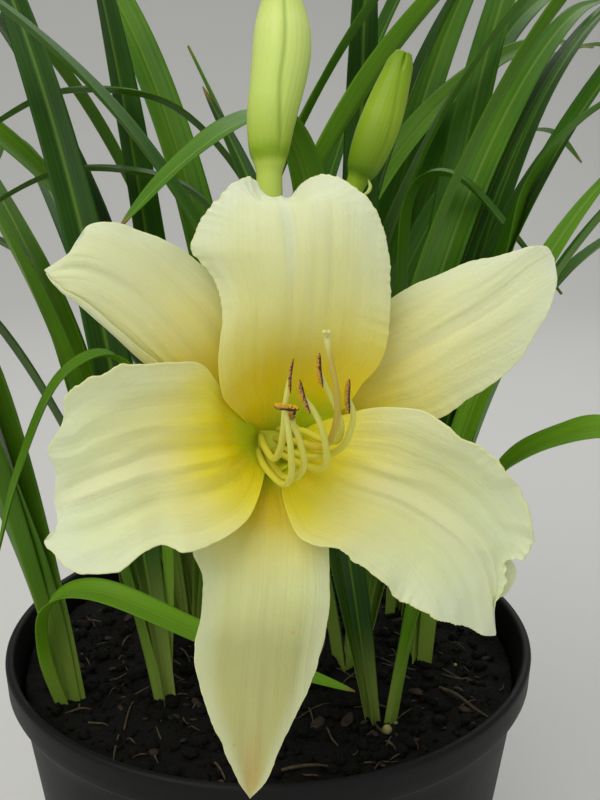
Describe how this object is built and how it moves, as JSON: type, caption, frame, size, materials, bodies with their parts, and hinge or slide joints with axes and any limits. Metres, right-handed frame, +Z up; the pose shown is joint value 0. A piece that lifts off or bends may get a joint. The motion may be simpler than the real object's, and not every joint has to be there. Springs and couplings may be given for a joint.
{
  "type": "potted daylily plant",
  "caption": "Flowering daylily in a round nursery pot: strap-leaved fans in compost and a scape with one open cream bloom and two buds.",
  "frame": {"origin": "centre of the pot's underside, on the surface that it stands on", "axes": "+Z up along the pot's axis; the open bloom faces -Y and tips a little upward; +X is to the right as the bloom is seen from the front"},
  "size_m": [0.5432, 0.512, 0.5633],
  "materials": {
    "pot_plastic": "black moulded nursery-pot plastic, faintly scuffed",
    "compost": "dark moist peat compost with fibres and bark",
    "leaf": "smooth green strap leaf with fine parallel veins",
    "scape": "smooth pale green flower stem",
    "tepal": "soft cream petal tissue, yellow to green in the throat",
    "filament": "pale yellow filament",
    "style": "pale tan style",
    "anther": "brown anther with orange pollen",
    "bud_pale": "pale lime bud skin",
    "bud_green": "green bud skin"
  },
  "bodies": {
    "root": {"pot": "pot_plastic", "compost": "compost", "fan_1": "leaf", "fan_2": "leaf", "fan_3": "leaf", "fan_4": "leaf", "fan_5": "leaf", "fan_6": "leaf", "fan_7": "leaf", "fan_8": "leaf", "fan_9": "leaf", "fan_10": "leaf", "fan_11": "leaf", "scape": "scape", "perianth": "tepal", "filaments": "filament", "pistil": "style", "anther_1": "anther", "anther_2": "anther", "anther_3": "anther", "anther_4": "anther", "anther_5": "anther", "anther_6": "anther", "bud_large": "bud_pale", "bud_small": "bud_green"}
  },
  "joints": []
}
